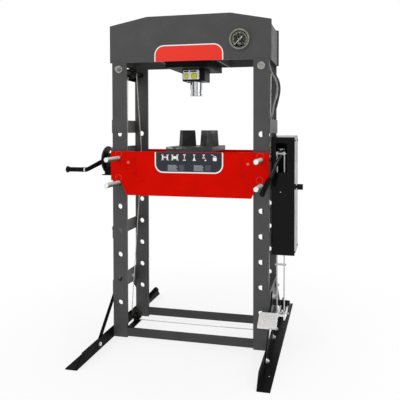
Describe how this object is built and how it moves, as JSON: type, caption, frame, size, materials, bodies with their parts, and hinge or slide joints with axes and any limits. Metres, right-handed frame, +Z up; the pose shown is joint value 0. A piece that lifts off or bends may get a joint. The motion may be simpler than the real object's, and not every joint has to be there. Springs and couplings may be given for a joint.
{
  "type": "hydraulic press",
  "caption": "Free-standing H-frame hydraulic workshop press with a winch-lifted bed on pull-out pins, a hand and foot pump, a pressure gauge, an arbor plate and V-blocks.",
  "frame": {"origin": "on the floor, midway between the columns and midway between the front and rear bars and between the four corner anchor holes", "axes": "+Z up, +X to the right of a person in front of the press, -Y towards that person"},
  "size_m": [1.322, 1.11, 1.85],
  "materials": {
    "frame_paint": "satin",
    "black_paint": "satin",
    "red_paint": "satin",
    "zinc": "satin",
    "dark_steel": "matte",
    "chrome": "polished",
    "cable_steel": "satin",
    "black_rubber": "matte",
    "grey_rubber": "matte",
    "black_plastic": "matte",
    "dial": "matte",
    "white_paint": "satin",
    "glass": "clear"
  },
  "bodies": {
    "frame": {"head_front_plate": "frame_paint", "head_rear_plate": "frame_paint", "head_end_plates": "frame_paint", "head_stiffeners": "frame_paint", "column_front_left": "frame_paint", "column_front_right": "frame_paint", "column_rear_left": "frame_paint", "column_rear_right": "frame_paint", "side_plates_left": "frame_paint", "side_plates_right": "frame_paint", "crossbars": "frame_paint", "foot_left": "black_paint", "foot_right": "black_paint", "braces": "black_paint", "frame_bolts": "zinc", "head_bolts": "zinc", "carriage_plate": "black_paint", "guard": "black_paint", "cylinder": "black_paint", "gauge_case": "chrome", "gauge_dial": "dial", "gauge_glass": "glass", "bed_front_plate": "red_paint", "bed_rear_plate": "red_paint", "bed_spacers": "red_paint", "bed_screws": "red_paint", "cable_lugs": "black_paint", "arbor_plate": "dark_steel", "v_block_left": "dark_steel", "v_block_right": "dark_steel", "winch_frame": "black_paint", "pulley_brackets": "black_paint", "cable_winch": "cable_steel", "cable_tie": "cable_steel", "pump_cover": "black_paint", "pump_body": "black_paint", "pedal_shaft": "zinc", "hose_ram": "black_rubber", "hose_gauge": "grey_rubber", "stowed_handle": "black_plastic", "handle_clip": "black_paint"},
    "ram": {"ram": "chrome", "ram_nose": "chrome"},
    "needle": {"gauge_needle": "white_paint"},
    "lever": {"hand_lever": "black_paint", "lever_grip": "black_plastic"},
    "rods": {"pull_rods": "zinc"},
    "pedal": {"pedal": "zinc"},
    "knob": {"release_knob": "black_plastic"},
    "pin_upper_left": {"pin_upper_left": "zinc"},
    "pin_upper_right": {"pin_upper_right": "zinc"},
    "pin_lower_left": {"pin_lower_left": "zinc"},
    "pin_lower_right": {"pin_lower_right": "zinc"},
    "crank": {"winch_drum": "dark_steel", "winch_crank": "black_paint"},
    "grip": {"crank_grip": "black_plastic"},
    "pulley_top_left": {"pulley_top_left": "black_paint"},
    "pulley_top_right": {"pulley_top_right": "black_paint"},
    "pulley_low_left": {"pulley_low_left": "black_paint"},
    "pulley_low_right": {"pulley_low_right": "black_paint"}
  },
  "joints": [
    {"name": "ram_slide", "type": "slide", "parent": "frame", "child": "ram", "axis": [0, 0, -1], "range_m": [0, 0.15]},
    {"name": "hand_lever_swing", "type": "hinge", "parent": "frame", "child": "lever", "pos_m": [0.514, -0.052, 1.1], "axis": [-1, 0, 0], "range_deg": [0, 50]},
    {"name": "pull_rods_lift", "type": "slide", "parent": "frame", "child": "rods", "axis": [0, 0, 1], "range_m": [0, 0.0424]},
    {"name": "pedal_swing", "type": "hinge", "parent": "frame", "child": "pedal", "pos_m": [0.514, -0.0006, 0.215], "axis": [-1, 0, 0], "range_deg": [0, 24.8]},
    {"name": "release_knob_turn", "type": "hinge", "parent": "frame", "child": "knob", "pos_m": [0.59, 0.021, 0.883], "axis": [1, 0, 0], "range_deg": [0, 180]},
    {"name": "gauge_needle_turn", "type": "hinge", "parent": "frame", "child": "needle", "pos_m": [0.296, -0.167, 1.702], "axis": [0, 1, 0], "range_deg": [0, 270]},
    {"name": "winch_turn", "type": "hinge", "parent": "frame", "child": "crank", "pos_m": [-0.5, -0.032, 1.028], "axis": [1, 0, 0], "continuous": true},
    {"name": "crank_grip_spin", "type": "hinge", "parent": "crank", "child": "grip", "pos_m": [-0.63, -0.25483, 0.98469], "axis": [1, 0, 0], "continuous": true},
    {"name": "pulley_top_left_turn", "type": "hinge", "parent": "frame", "child": "pulley_top_left", "pos_m": [-0.414, 0.014, 1.557], "axis": [0, 1, 0], "continuous": true},
    {"name": "pulley_top_right_turn", "type": "hinge", "parent": "frame", "child": "pulley_top_right", "pos_m": [0.414, 0.014, 1.557], "axis": [0, 1, 0], "continuous": true},
    {"name": "pulley_low_left_turn", "type": "hinge", "parent": "frame", "child": "pulley_low_left", "pos_m": [-0.3561, -0.066, 0.104], "axis": [0, 1, 0], "continuous": true},
    {"name": "pulley_low_right_turn", "type": "hinge", "parent": "frame", "child": "pulley_low_right", "pos_m": [0.414, -0.066, 0.104], "axis": [0, 1, 0], "continuous": true},
    {"name": "pin_upper_left_pull", "type": "slide", "parent": "frame", "child": "pin_upper_left", "axis": [0, -1, 0], "range_m": [0, 0.3]},
    {"name": "pin_upper_right_pull", "type": "slide", "parent": "frame", "child": "pin_upper_right", "axis": [0, -1, 0], "range_m": [0, 0.3]},
    {"name": "pin_lower_left_pull", "type": "slide", "parent": "frame", "child": "pin_lower_left", "axis": [0, -1, 0], "range_m": [0, 0.3]},
    {"name": "pin_lower_right_pull", "type": "slide", "parent": "frame", "child": "pin_lower_right", "axis": [0, -1, 0], "range_m": [0, 0.3]}
  ],
  "couplings": [
    {"joint": "pull_rods_lift", "follows": "hand_lever_swing", "m_per_rad": 0.048428},
    {"joint": "pedal_swing", "follows": "hand_lever_swing", "ratio": 0.49297},
    {"joint": "pulley_top_left_turn", "follows": "winch_turn", "ratio": 1.0743},
    {"joint": "pulley_top_right_turn", "follows": "winch_turn", "ratio": -1.0743},
    {"joint": "pulley_low_left_turn", "follows": "winch_turn", "ratio": -1.0743},
    {"joint": "pulley_low_right_turn", "follows": "winch_turn", "ratio": -1.0743}
  ]
}
